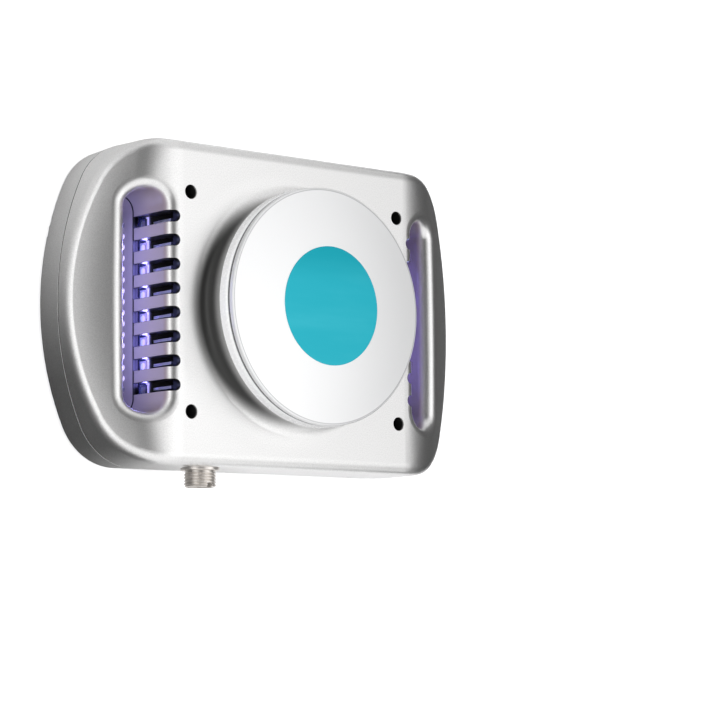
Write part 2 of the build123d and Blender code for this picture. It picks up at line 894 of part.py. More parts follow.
def module_lead():
    x = header_places[1]
    drop_y = -sink_width / 2 - module_lead_thickness
    exit_z = sink_top + module_thickness / 2
    points = [
        (module_lead_x, -module_size - module_gap / 2, exit_z),
        (module_lead_x, drop_y, exit_z),
        (module_lead_x, drop_y, header_top + 2 * lead_rise),
        (x, header_row, header_top + lead_rise),
        (x, header_row, header_top),
    ]
    return lead("module lead", points, [4, 6, 4], module_lead_thickness)


def sensor_lead():
    x = header_places[3]
    drop_y = -sink_width / 2 - sensor_lead_thickness
    points = [
        (sensor_x, sensor_mouth, sensor_z),
        (sensor_x, drop_y, sensor_z),
        (sensor_x, drop_y, header_top + 2 * lead_rise),
        (x, header_row, header_top + lead_rise),
        (x, header_row, header_top),
    ]
    return lead("sensor lead", points, [2, 6, 4], sensor_lead_thickness)


def fan_lead():
    under = fan_level - fan_lead_thickness / 2 - air / 2
    points = [
        (0, -hub_radius + 2 * fan_lead_thickness, under),
        (0, header_row, under),
        (0, header_row, header_level),
    ]
    return lead("fan lead", points, [4], fan_lead_thickness)


def light_lead(side):
    x = header_places[0] if side < 0 else header_places[-1]
    x += light_lead_offset * side
    run_x = side * (well_x - boss_radius - light_lead_thickness / 2 - air / 2)
    start_y = light_board_margin - (vent_count - 1) * vent_pitch / 2
    turn_y = -fan_size / 2 - light_lead_thickness - air
    level = light_board_level + light_board_height / 2
    points = [
        (side * light_board_x, start_y, level),
        (run_x, start_y, level),
        (run_x, turn_y, level),
        (x, header_row, header_top + lead_rise / 2),
        (x, header_row, header_top),
    ]
    return lead("light lead", points, [3, 4, 3], light_lead_thickness)


def side_name(side):
    return "left" if side < 0 else "right"


def main():
    parts = {
        "upper_shell": upper_shell(),
        "lower_shell": lower_shell(),
        "bezel_ring": bezel_ring(),
        "plate_gasket": plate_gasket(),
        "cold_plate": cold_plate(),
        "plate_disc": plate_disc(),
        "plate_pad": plate_pad(),
        "cold_block": cold_block(),
        "insulation_collar": insulation_collar(),
        "heat_sink": heat_sink(),
        "clamp_screws": clamp_screws(),
        "clamp_bushes": clamp_bushes(),
        "sink_screws": sink_screws(),
        "fan_frame": fan_frame(),
        "fan_bearing": fan_bearing(),
        "fan_stator": fan_stator(),
        "fan_board": fan_board(),
        "fan_rotor": fan_rotor(),
        "fan_magnet": fan_magnet(),
        "fan_shaft": fan_shaft(),
        "fan_screws": fan_screws(),
        "air_baffle": air_baffle(),
        "control_board": control_board(),
        "capacitors": capacitors(),
        "power_transistors": power_transistors(),
        "controller_chip": controller_chip(),
        "headers": headers(),
        "socket_shell": socket_shell(),
        "socket_insert": socket_insert(),
        "socket_pins": socket_pins(),
        "socket_washer": socket_washer(),
        "socket_nut": socket_nut(),
        "case_screws": case_screws(),
        "plate_sensor": plate_sensor(),
        "supply_lead": supply_lead(),
        "module_lead": module_lead(),
        "sensor_lead": sensor_lead(),
        "fan_lead": fan_lead(),
    }
    offset = (module_size + module_gap) / 2
    for number, (x, y) in enumerate(corners(offset, offset), start=1):
        parts[f"cooling_module_{number}"] = cooling_module(x, y)
    for side in (-1, 1):
        parts[f"light_board_{side_name(side)}"] = light_board(side)
        parts[f"emitters_{side_name(side)}"] = emitters(side)
        parts[f"light_lead_{side_name(side)}"] = light_lead(side)

    os.makedirs("parts", exist_ok=True)
    for name, piece in parts.items():
        solids = piece if isinstance(piece, list) else [piece]
        shape = Compound(children=[solid for item in solids for solid in item.solids()])
        export_step(shape, f"parts/{name}.step")
        print(name, len(shape.solids()), round(shape.volume))


main()
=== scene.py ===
import bpy
import bmesh
import math
from mathutils import Matrix, Vector


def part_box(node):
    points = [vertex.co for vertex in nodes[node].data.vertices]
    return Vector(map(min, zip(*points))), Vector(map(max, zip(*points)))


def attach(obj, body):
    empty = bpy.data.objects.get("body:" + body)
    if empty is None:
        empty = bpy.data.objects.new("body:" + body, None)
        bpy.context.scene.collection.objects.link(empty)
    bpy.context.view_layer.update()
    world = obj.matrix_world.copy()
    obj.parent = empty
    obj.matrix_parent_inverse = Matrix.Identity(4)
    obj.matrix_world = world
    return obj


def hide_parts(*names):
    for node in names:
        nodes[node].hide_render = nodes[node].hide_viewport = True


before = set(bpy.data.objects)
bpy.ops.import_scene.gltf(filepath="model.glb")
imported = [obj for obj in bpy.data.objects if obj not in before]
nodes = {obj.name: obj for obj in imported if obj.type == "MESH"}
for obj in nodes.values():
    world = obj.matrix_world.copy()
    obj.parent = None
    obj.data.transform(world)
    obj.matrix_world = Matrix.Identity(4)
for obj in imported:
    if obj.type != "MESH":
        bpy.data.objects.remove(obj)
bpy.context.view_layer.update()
scene = bpy.context.scene
print("frame loaded:", len(nodes), "nodes")


# helpers for nodes of materials, of the world and of geometry
def setInputs(tree, node, values):
    for key, value in values.items():
        if isinstance(value, bpy.types.NodeSocket):
            tree.links.new(value, node.inputs[key])
        else:
            node.inputs[key].default_value = value


def put(tree, kind, inputs=None, **settings):
    node = tree.nodes.new(kind)
    for key, value in settings.items():
        setattr(node, key, value)
    setInputs(tree, node, inputs or {})
    return node


def calc(tree, operation, first, second=0.0, third=0.0):
    inputs = {0: first, 1: second, 2: third}
    return put(tree, "ShaderNodeMath", inputs, operation=operation).outputs[0]


def plus(tree, first, second):
    return calc(tree, "ADD", first, second)


def minus(tree, first, second):
    return calc(tree, "SUBTRACT", first, second)


def inverse(tree, value):
    return minus(tree, 1.0, value)


def times(tree, first, *others):
    for other in others:
        first = calc(tree, "MULTIPLY", first, other)
    return first


def larger(tree, first, second):
    return calc(tree, "MAXIMUM", first, second)


def absolute(tree, value):
    return calc(tree, "ABSOLUTE", value)


# first where the share is 0, second where it is 1
def between(tree, share, first, second):
    return calc(tree, "MULTIPLY_ADD", share, minus(tree, second, first), first)


# smooth ramp of a value from start to end, whichever way they run
def fade(tree, value, start, end, low=0.0, high=1.0):
    inputs = {0: value, 1: start, 2: end, 3: low, 4: high}
    return put(tree, "ShaderNodeMapRange", inputs, interpolation_type="SMOOTHSTEP").outputs[0]


# 1 between two edges, each given as its outer and inner end
def band(tree, value, start, fullFrom, fullTo, end):
    return times(tree, fade(tree, value, start, fullFrom), fade(tree, value, end, fullTo))


# distance of a point from a line along the third axis, given its two offsets
def reach(tree, first, second):
    return calc(tree, "SQRT", plus(tree, times(tree, first, first), times(tree, second, second)))


def vector(tree, x=0.0, y=0.0, z=0.0):
    return put(tree, "ShaderNodeCombineXYZ", {0: x, 1: y, 2: z}).outputs[0]


def blendColour(tree, share, first, second):
    inputs = {0: share, 6: first, 7: second}
    return put(tree, "ShaderNodeMix", inputs, data_type="RGBA").outputs[2]


def place(tree):
    return put(tree, "ShaderNodeTexCoord").outputs["Object"]


def axes(tree):
    parts = put(tree, "ShaderNodeSeparateXYZ", {0: place(tree)}).outputs
    return parts[0], parts[1], parts[2]


def grainOf(tree, scale, detail=2.0, roughness=0.5, stretch=(1, 1, 1)):
    mapping = put(tree, "ShaderNodeMapping", {"Vector": place(tree), "Scale": stretch})
    return put(tree, "ShaderNodeTexNoise", {
        "Vector": mapping.outputs[0], "Scale": scale, "Detail": detail, "Roughness": roughness,
    }).outputs["Fac"]


def bumpOf(tree, height, strength, distance, under=None):
    inputs = {"Height": height, "Strength": strength, "Distance": distance}
    if under:
        inputs["Normal"] = under
    return put(tree, "ShaderNodeBump", inputs).outputs[0]


def grey(level, warm=0.0):
    return (level * (1 + warm), level, level * (1 - warm), 1.0)


def newMaterial(name):
    material = bpy.data.materials.new(name)
    material.use_nodes = True
    tree = material.node_tree
    return material, tree, tree.nodes["Principled BSDF"]


# everyday finish: a colour that drifts a little, roughness that varies, and a fine bump
def plainFinish(name, colour, roughness, metallic=0.0, drift=0.12, scale=400.0, bump=0.15,
                depth=0.00003, stretch=(1, 1, 1)):
    material, tree, shader = newMaterial(name)
    fine = grainOf(tree, scale, 3.0, 0.6, stretch)
    broad = grainOf(tree, 35.0, 2.0)
    dark = tuple(c * (1 - drift) for c in colour[:3]) + (1.0,)
    light = tuple(min(1.0, c * (1 + drift)) for c in colour[:3]) + (1.0,)
    share = calc(tree, "MULTIPLY_ADD", fine, 0.6, times(tree, broad, 0.4))
    smooth, rough = max(0.04, roughness - 0.05), roughness + 0.05
    setInputs(tree, shader, {
        "Base Color": blendColour(tree, share, dark, light),
        "Roughness": fade(tree, fine, 0.2, 0.8, smooth, rough),
        "Metallic": metallic,
        "Normal": bumpOf(tree, fine, bump, depth),
    })
    return material


def dress(names, material):
    for name in names:
        for slot in nodes[name].material_slots:
            slot.material = material


# camera at the photograph's viewing angle
cameraView = {
    "location": (-0.81575, -0.1629, 1.05188),
    "right": (0.76215, -0.00929, 0.64733),
    "up": (-0.06323, 0.99405, 0.08871),
    "forward": (0.6443, 0.10854, -0.75703),
    "lens": 130.48,
    "sensor": 36,
    "clipStart": 0.05,
}


def makeCamera():
    view = cameraView
    data = bpy.data.cameras.new("camera")
    data.sensor_width = view["sensor"]
    data.lens = view["lens"]
    data.clip_start = view["clipStart"]
    camera = bpy.data.objects.new("camera", data)
    scene.collection.objects.link(camera)
    turn = Matrix((view["right"], view["up"], [-c for c in view["forward"]])).transposed()
    camera.matrix_world = Matrix.Translation(view["location"]) @ turn.to_4x4()
    scene.camera = camera


# studio: a pale floor in white surroundings, whose reflections are graded by direction
studio = {
    "floorHalf": 4,
    "floorZ": -0.0003,
    "floorColour": (0.93, 0.93, 0.935, 1),
    "floorBounce": (0.42, 0.42, 0.43, 1),
    "floorGlow": 0.42,
    "floorMirrored": 0.5,
    "floorFar": (0.5, 1.1, 0.0, 0.7),
    "ambient": 0.34,
    "horizon": 0.85,
    "horizonHeight": (0.05, 0.75),
    "zenith": (-0.36, 0.16, 0.0, 0.86),
    "zenithRight": (0.60, 0.76, 0.86, 0.20),
    "zenithAlong": (0.22, 0.06, 0.96, 1.26),
    "front": (-0.15, -0.50, 0.0, 1.05),
}
lamps = {
    "key": {"direction": (0.520, -0.06, 0.853), "distance": 1.7, "size": (0.94, 1.8), "power": 2.6},
    "top": {"direction": (0.10, 0.0, 1.0), "distance": 1.5, "size": (1.0, 1.0), "power": 14.0,
            "hiddenFrom": "glossy"},
    "strip": {"direction": (-0.93, 0.08, 0.36), "distance": 1.3, "size": (1.6, 0.28),
              "power": 1.85, "up": (0, 0, 1), "hiddenFrom": "diffuse"},
    "halo": {"direction": (-0.85, 0.06, 0.53), "distance": 1.3, "size": (1.0, 0.46),
             "power": 0.42, "up": (0, 0, 1), "hiddenFrom": "diffuse"},
    "fill": {"direction": (-0.86, -0.12, 0.50), "distance": 1.4, "size": (0.9, 0.9),
             "power": 11.0, "hiddenFrom": "glossy"},
}


def newMesh(name, corners, faces, material=None):
    mesh = bpy.data.meshes.new(name)
    mesh.from_pydata([tuple(c) for c in corners], [], [tuple(f) for f in faces])
    piece = bpy.data.objects.new(name, mesh)
    scene.collection.objects.link(piece)
    if material:
        mesh.materials.append(material)
    return piece


# four corners of a level card, from one x to another
def levelCard(left, right, half, z):
    return [(left, -half, z), (right, -half, z), (right, half, z), (left, half, z)]


# the camera sees the floor white, reflections see it dimmer, and little light bounces off it
def makeFloor():
    material, tree, shader = newMaterial("floor_paint")
    path = put(tree, "ShaderNodeLightPath").outputs
    mirrored = times(tree, path["Is Glossy Ray"], studio["floorMirrored"])
    seen = larger(tree, path["Is Camera Ray"], larger(tree, mirrored, path["Is Transmission Ray"]))
    x, y, z = axes(tree)
    far = times(tree, path["Is Camera Ray"], fade(tree, reach(tree, x, y), *studio["floorFar"]))
    setInputs(tree, shader, {
        "Base Color": blendColour(tree, seen, studio["floorBounce"], studio["floorColour"]),
        "Roughness": 0.9,
        "Specular IOR Level": 0.1,
        "Emission Color": (1, 1, 1, 1),
        "Emission Strength": plus(tree, times(tree, seen, studio["floorGlow"]), far),
    })
    half = studio["floorHalf"]
    corners = levelCard(-half, half, half, studio["floorZ"])
    newMesh("floor", corners, [(0, 1, 2, 3)], material)


def makeWorld():
    world = bpy.data.worlds.new("studio_air")
    world.use_nodes = True
    scene.world = world
    tree = world.node_tree
    path = put(tree, "ShaderNodeLightPath").outputs
    direction = put(tree, "ShaderNodeTexCoord").outputs["Generated"]
    across, along, height = put(tree, "ShaderNodeSeparateXYZ", {0: direction}).outputs
    above = calc(tree, "MINIMUM", fade(tree, across, *studio["zenith"]),
                 fade(tree, across, *studio["zenithRight"]))
    above = times(tree, above, fade(tree, along, *studio["zenithAlong"]))
    share = fade(tree, height, *studio["horizonHeight"])
    glossy = between(tree, share, studio["horizon"], above)
    glossy = larger(tree, glossy, fade(tree, along, *studio["front"]))
    mirrored = larger(tree, path["Is Glossy Ray"], path["Is Transmission Ray"])
    level = between(tree, mirrored, studio["ambient"], glossy)
    level = between(tree, path["Is Camera Ray"], level, 1.0)
    setInputs(tree, tree.nodes["Background"], {"Color": (1, 1, 1, 1), "Strength": level})


# area lamp that stands off from its target in a direction and shines back at it
def softbox(name, direction, distance, size, power, colour=(1, 1, 1), target=(0, 0, 0.04),
            up=(0, 1, 0), hiddenFrom=None):
    lamp = bpy.data.lights.new(name, "AREA")
    lamp.shape = "RECTANGLE"
    lamp.size, lamp.size_y = size
    lamp.energy = power
    lamp.color = colour
    piece = bpy.data.objects.new(name, lamp)
    scene.collection.objects.link(piece)
    back = Vector(direction).normalized()
    side = Vector(up).cross(back).normalized()
    turn = Matrix((side, back.cross(side), back)).transposed().to_4x4()
    piece.matrix_world = Matrix.Translation(Vector(target) + back * distance) @ turn
    if hiddenFrom:
        setattr(piece, "visible_" + hiddenFrom, False)


# cards of dark felt, seen in reflections only: paling runs along Y, edge along X
flags = {
    "flagLeft": {"corners": levelCard(-0.95, 0.0, 0.7, -0.0001), "dark": 0.03, "pale": 0.62,
                 "paling": (-0.05, 0.10), "edge": (-0.12, -0.01)},
    "flagRight": {"corners": [(0.70, -0.7, 0.0), (0.70, 0.7, 0.0), (0.70, 0.7, 0.48),
                              (0.70, -0.7, 0.48)]},
    "flagRightFloor": {"corners": levelCard(0.17, 0.70, 0.7, -0.0001)},
}


def makeFlag(name, corners, dark=0.012, pale=0.03, paling=(-0.2, 0.2), edge=None, edgeLevel=0.85):
    material, tree, shader = newMaterial(name + "_felt")
    fibres = grainOf(tree, 120.0, 3.0)
    x, y, z = axes(tree)
    level = fade(tree, y, *paling, dark, pale)
    if edge:
        level = larger(tree, level, fade(tree, x, *edge, 0.0, edgeLevel))
    colour = put(tree, "ShaderNodeCombineColor", {0: level, 1: level, 2: level}).outputs[0]
    setInputs(tree, shader, {
        "Base Color": blendColour(tree, times(tree, fibres, 0.2), colour, grey(dark)),
        "Roughness": 1.0,
        "Specular IOR Level": 0.0,
    })
    flag = newMesh(name, corners, [(0, 1, 2, 3)], material)
    flag.visible_camera = False
    flag.visible_diffuse = False
    flag.visible_shadow = False
    flag.visible_transmission = False


scene.view_settings.view_transform = "Standard"
makeCamera()
makeFloor()
makeWorld()
for name, lamp in lamps.items():
    softbox(name, **lamp)
for name, flag in flags.items():
    makeFlag(name, **flag)
print("camera, floor, world, lamps and flags made")

# silver sprayed plastic of the two shells, with painted shade in the vents, screw wells, parting
# seam and round the pedestal's foot, and darker violet plastic in the slots
shellFinish = {
    "silver": grey(0.90, 0.004),
    "silverDark": grey(0.80, 0.004),
    # inside the slots: darker and violet, partly unsprayed plastic and partly painted shade with a
    # painted violet glow of the light sources
    "inside": (0.30, 0.245, 0.285, 1),
    # painted shade inside the vents, nearly black
    "ventPaintedShade": (0.006, 0.006, 0.007, 1),
    # painted shade inside the screw wells, nearly black
    "wellPaintedShade": (0.012, 0.012, 0.012, 1),
    # painted shade: a dark ring round the pedestal's foot
    "paintedFootShade": (0.035, 0.035, 0.034, 1),
    # painted shade along the parting seam
    "seamPaintedShade": (0.02, 0.02, 0.02, 1),
    "metallic": 0.94,
    "roughness": 0.36,
    "roughnessDrift": 0.06,
    "grainScale": 1900.0,
    "grainStrength": 0.35,
    "grainDepth": 0.00002,
    "crownBend": 6.0,
}

# where those areas lie on the shells, in metres: pairs are the two ends of an edge's fade
shellPlaces = {
    "slotX": 0.0885,
    "slotStraight": 0.0465,
    "slotEdge": (0.0098, 0.0086),
    "ventPitch": 0.0119,
    "ventEndX": 0.0769,
    "ventEdge": (0.00303, 0.00295),
    "ventOuter": (0.0803, 0.0801),
    "ventRows": (0.0505, 0.0495),
    "behindX": (0.0595, 0.0602, 0.0772, 0.0774),
    "behindTop": (0.0478, 0.0475),
    "wellX": 0.0674,
    "wellY": 0.0544,
    "wellEdge": (0.0041, 0.0037),
    "wellTop": (0.0498, 0.0488),
    # the painted shade ring round the pedestal's foot, off centre towards -X
    "shadeX": -0.0094,
    "shadeY": -0.0012,
    "shadeEdge": (0.0601, 0.0522),
    "shadeBottom": (0.0485, 0.0495),
    "shadeTop": (0.0545, 0.0620, 1.0, 0.55),
    "hazeEdge": (0.0610, 0.0720, 0.45, 1.0),
    "crownX": 0.022,
    "crownStart": 0.124,
    "seamBand": (0.01860, 0.01875, 0.01925, 0.01940),
}


# 1 on the inside of the vents and on the shell behind them, whose notches end in half circles on
# the plateau: painted shade darkens these nearly to black
def ventShadeMask(tree, absX, absY, y, z):
    at = shellPlaces
    behind = times(tree, band(tree, absX, *at["behindX"]), fade(tree, z, *at["behindTop"]))
    turns = calc(tree, "FRACT", calc(tree, "DIVIDE", y, at["ventPitch"]))
    fromVent = times(tree, absolute(tree, minus(tree, turns, 0.5)), at["ventPitch"])
    beyond = larger(tree, minus(tree, at["ventEndX"], absX), 0.0)
    across = times(tree, fade(tree, reach(tree, beyond, fromVent), *at["ventEdge"]),
                   fade(tree, absX, *at["ventOuter"]))
    return times(tree, larger(tree, behind, across), fade(tree, absY, *at["ventRows"]))


# 1 inside the screw wells, where painted shade darkens the shell nearly to black
def wellShadeMask(tree, absX, absY, z):
    at = shellPlaces
    fromWell = reach(tree, minus(tree, absX, at["wellX"]), minus(tree, absY, at["wellY"]))
    return times(tree, fade(tree, fromWell, *at["wellEdge"]), fade(tree, z, *at["wellTop"]))


# slight crown of the plateau's ends, which sends their reflections outwards
def crownOf(tree, absX, y):
    at = shellPlaces
    out = minus(tree, reach(tree, plus(tree, absX, at["crownX"]), y), at["crownStart"])
    out = larger(tree, out, 0.0)
    return bumpOf(tree, times(tree, out, out, -shellFinish["crownBend"]), 1.0, 1.0)


def shellMaterial(name, withTop):
    look, at = shellFinish, shellPlaces
    material, tree, shader = newMaterial(name)
    x, y, z = axes(tree)
    absX, absY = absolute(tree, x), absolute(tree, y)
    grain = grainOf(tree, look["grainScale"], 1.0, 0.5)
    broad = grainOf(tree, 9.0, 3.0)
    colour = blendColour(tree, fade(tree, grain, 0.3, 0.7), look["silverDark"], look["silver"])
    overrun = larger(tree, minus(tree, absY, at["slotStraight"]), 0.0)
    fromSlot = reach(tree, minus(tree, absX, at["slotX"]), overrun)
    # inside the slots the plastic is darker, violet and not metallic: partly unsprayed plastic,
    # partly painted shade and painted glow of the light sources
    inSlot = fade(tree, fromSlot, *at["slotEdge"])
    colour = blendColour(tree, inSlot, colour, look["inside"])
    bare = inverse(tree, inSlot)
    if withTop:
        inVentShade = ventShadeMask(tree, absX, absY, y, z)
        inWellShade = wellShadeMask(tree, absX, absY, z)
        # painted shade: a dark ring on the plateau, flare and pedestal round the pedestal's foot
        radius = reach(tree, minus(tree, x, at["shadeX"]), minus(tree, y, at["shadeY"]))
        paintedShadeRing = times(tree, fade(tree, radius, *at["shadeEdge"]), fade(tree, z, *at["shadeBottom"]),
                     fade(tree, z, *at["shadeTop"]))
        # painted shade, darkening the vents' insides nearly to black
        colour = blendColour(tree, inVentShade, colour, look["ventPaintedShade"])
        # painted shade in the screw wells
        colour = blendColour(tree, inWellShade, colour, look["wellPaintedShade"])
        # painted shade round the pedestal's foot
        colour = blendColour(tree, paintedShadeRing, colour, look["paintedFootShade"])
        bare = times(tree, bare, fade(tree, radius, *at["hazeEdge"]),
                     inverse(tree, inVentShade), inverse(tree, inWellShade))
    # painted shade along the parting groove between the shells
    colour = blendColour(tree, band(tree, z, *at["seamBand"]), colour, look["seamPaintedShade"])
    drift = look["roughnessDrift"]
    setInputs(tree, shader, {
        "Base Color": colour,
        "Metallic": times(tree, bare, look["metallic"]),
        "Roughness": calc(tree, "MULTIPLY_ADD", broad, drift, look["roughness"] - drift / 2),
        "Normal": bumpOf(tree, grain, look["grainStrength"], look["grainDepth"],
                         crownOf(tree, absX, y) if withTop else None),
    })
    return material


dress(["upper_shell"], shellMaterial("silver_upper", True))
dress(["lower_shell"], shellMaterial("silver_lower", False))
print("shells finished")

# bezel in gloss white with painted shade where it meets the plate, satin aluminium plate, matt teal
# film
topFinish = {
    "white": (0.90, 0.902, 0.91, 1),
    "whiteLight": grey(0.94),
    # painted shade where the bezel's top meets the plate
    "gap": (0.16, 0.16, 0.17, 1),
    "gapFrom": (0.0694, 0.0698),
    "plate": (0.80, 0.805, 0.815, 1),
    "plateDark": grey(0.80),
    "plateMetallic": 0.48,
    "plateRoughness": 0.36,
    "rimLine": (0.52, 0.52, 0.53, 1),
    "rimBand": (0.0586, 0.0588, 0.0592, 0.0594),
    "teal": (0.016, 0.365, 0.455, 1),
    "tealStreak": (0.030, 0.40, 0.49, 1),
    "tealTop": (0.004, 0.30, 0.375, 1),
    "tealTopFrom": (0.008, 0.028),
}


def bezelMaterial():
    material, tree, shader = newMaterial("bezel_white")
    fine = grainOf(tree, 700.0, 2.0)
    white = blendColour(tree, fine, topFinish["white"], topFinish["whiteLight"])
    # painted shade along the bezel's top where it meets the plate
    inPaintedGapShade = fade(tree, axes(tree)[2], *topFinish["gapFrom"])
    setInputs(tree, shader, {
        "Base Color": blendColour(tree, inPaintedGapShade, white, topFinish["gap"]),
        "Roughness": fade(tree, fine, 0.2, 0.8, 0.22, 0.3),
        "Coat Weight": 0.3,
        "Normal": bumpOf(tree, fine, 0.05, 0.00002),
    })
    return material


def plateMaterial():
    material, tree, shader = newMaterial("plate_satin")
    fine = grainOf(tree, 2400.0, 1.0)
    broad = grainOf(tree, 14.0, 2.0)
    x, y, z = axes(tree)
    line = band(tree, reach(tree, x, y), *topFinish["rimBand"])
    speckle = fade(tree, fine, 0.3, 0.7)
    colour = blendColour(tree, speckle, topFinish["plateDark"], topFinish["plate"])
    setInputs(tree, shader, {
        "Base Color": blendColour(tree, line, colour, topFinish["rimLine"]),
        "Metallic": topFinish["plateMetallic"],
        "Roughness": calc(tree, "MULTIPLY_ADD", broad, 0.08, topFinish["plateRoughness"]),
        "Normal": bumpOf(tree, fine, 0.25, 0.000015),
    })
    return material


def discMaterial():
    material, tree, shader = newMaterial("teal_film")
    fine = grainOf(tree, 1500.0, 1.0)
    streak = fade(tree, grainOf(tree, 60.0, 3.0, 0.55, (0.18, 1.0, 1.0)), 0.45, 0.75)
    colour = blendColour(tree, streak, topFinish["teal"], topFinish["tealStreak"])
    atTop = fade(tree, axes(tree)[1], *topFinish["tealTopFrom"])
    setInputs(tree, shader, {
        "Base Color": blendColour(tree, atTop, colour, topFinish["tealTop"]),
        "Roughness": 0.5,
        "Specular IOR Level": 0.2,
        "Normal": bumpOf(tree, fine, 0.1, 0.00001),
    })
    return material


dress(["bezel_ring"], bezelMaterial())
dress(["cold_plate"], plateMaterial())
dress(["plate_disc"], discMaterial())
print("bezel, plate and disc finished")

# plain finishes of the inner pieces and the socket, with the nodes that wear them
plainFinishes = {
    "rubber_black": (["plate_gasket"], {
        "colour": (0.02, 0.02, 0.022, 1), "roughness": 0.6, "bump": 0.3}),
    "pad_pink": (["plate_pad"], {
        "colour": (0.42, 0.27, 0.27, 1), "roughness": 0.7, "scale": 600.0, "bump": 0.3}),
    "machined_alloy": (["cold_block"], {
        "colour": (0.72, 0.73, 0.75, 1), "roughness": 0.28, "metallic": 1.0, "drift": 0.06,
        "scale": 220.0, "bump": 0.12, "stretch": (0.05, 1, 1)}),
    "foam_grey": (["insulation_collar"], {
        "colour": (0.09, 0.09, 0.1, 1), "roughness": 0.95, "drift": 0.35, "scale": 900.0,
        "bump": 0.9, "depth": 0.0003}),
    "ceramic_white": ([f"cooling_module_{n}" for n in (1, 2, 3, 4)], {
        "colour": (0.83, 0.83, 0.80, 1), "roughness": 0.55}),
    "polished_steel": (["clamp_screws", "sink_screws", "fan_screws", "case_screws", "fan_shaft",
                        "socket_washer", "plate_sensor"], {
        "colour": (0.62, 0.62, 0.63, 1), "roughness": 0.2, "metallic": 1.0, "drift": 0.05,
        "scale": 300.0, "bump": 0.06}),
    "nylon_natural": (["clamp_bushes", "headers"], {
        "colour": (0.72, 0.70, 0.62, 1), "roughness": 0.5, "bump": 0.1}),
    "fan_black": (["fan_frame", "fan_rotor"], {
        "colour": (0.022, 0.022, 0.024, 1), "roughness": 0.38, "scale": 700.0, "bump": 0.2}),
    "bearing_bronze": (["fan_bearing"], {
        "colour": (0.55, 0.36, 0.14, 1), "roughness": 0.35, "metallic": 1.0, "scale": 500.0,
        "bump": 0.3}),
    "stator_steel": (["fan_stator"], {
        "colour": (0.33, 0.34, 0.36, 1), "roughness": 0.38, "metallic": 1.0, "scale": 900.0,
        "bump": 0.5, "stretch": (0.02, 0.02, 1)}),
    "magnet_ferrite": (["fan_magnet"], {
        "colour": (0.045, 0.043, 0.042, 1), "roughness": 0.65, "scale": 800.0, "bump": 0.4}),
    "board_green": (["fan_board", "control_board"], {
        "colour": (0.012, 0.11, 0.035, 1), "roughness": 0.35, "scale": 160.0, "bump": 0.3}),
    "baffle_sheet": (["air_baffle"], {
        "colour": (0.03, 0.03, 0.034, 1), "roughness": 0.5, "scale": 420.0, "bump": 0.25}),
    "epoxy_black": (["power_transistors", "controller_chip"], {
        "colour": (0.02, 0.02, 0.021, 1), "roughness": 0.5, "scale": 900.0, "bump": 0.35}),
    "nickel": (["capacitors", "socket_shell", "socket_nut", "socket_pins"], {
        "colour": (0.80, 0.76, 0.72, 1), "roughness": 0.34, "metallic": 0.9, "drift": 0.05,
        "scale": 350.0, "bump": 0.08}),
    "insert_black": (["socket_insert"], {
        "colour": (0.016, 0.016, 0.018, 1), "roughness": 0.4, "scale": 800.0, "bump": 0.2}),
    "lead_black": (["supply_lead", "light_lead_left", "light_lead_right", "fan_lead"], {
        "colour": (0.018, 0.018, 0.02, 1), "roughness": 0.42, "bump": 0.1}),
    "lead_red": (["module_lead"], {
        "colour": (0.42, 0.02, 0.015, 1), "roughness": 0.42, "bump": 0.1}),
    "lead_white": (["sensor_lead"], {
        "colour": (0.7, 0.69, 0.66, 1), "roughness": 0.42, "bump": 0.1}),
}
materials = {}
for name, (wearers, look) in plainFinishes.items():
    materials[name] = plainFinish(name, **look)
    dress(wearers, materials[name])

# dark anodised extrusion whose sawn fin ends stay bare
sinkFinish = {
    "dark": ((0.018, 0.020, 0.036, 1), (0.028, 0.030, 0.055, 1)),
    "bare": (grey(0.55), grey(0.72)),
    "finEndX": (0.0707, 0.0709),
    "finTopZ": (0.0385, 0.0380),
}


def sinkMaterial():
    look = sinkFinish
    material, tree, shader = newMaterial("anodised_dark")
    drawn = grainOf(tree, 260.0, 3.0, 0.6, (0.04, 1, 1))
    sawn = grainOf(tree, 500.0, 3.0, 0.6, (1, 0.1, 1))
    x, y, z = axes(tree)
    bare = times(tree, fade(tree, absolute(tree, x), *look["finEndX"]),
                 fade(tree, z, *look["finTopZ"]))
    dark = blendColour(tree, drawn, *look["dark"])
    setInputs(tree, shader, {
        "Base Color": blendColour(tree, bare, dark, blendColour(tree, sawn, *look["bare"])),
        "Metallic": calc(tree, "MULTIPLY_ADD", bare, 0.3, 0.6),
        "Roughness": calc(tree, "MULTIPLY_ADD", drawn, 0.1, 0.32),
        "Normal": bumpOf(tree, drawn, 0.2, 0.00003),
    })
    return material


# navy solder mask with a striped band of painted reflection and painted glow above the light
# sources
boardFinish = {
    "mask": ((0.010, 0.018, 0.075, 1), (0.016, 0.026, 0.10, 1)),
    "paintedGlowStripes": ((0.42, 0.46, 0.80, 1), (0.92, 0.78, 0.90, 1)),
    "stripePitch": 0.0011,
    "stripeEdge": (-0.4, 0.6),
    "bandFrom": (0.0186, 0.0190),
    "bandGlow": 0.16,
}


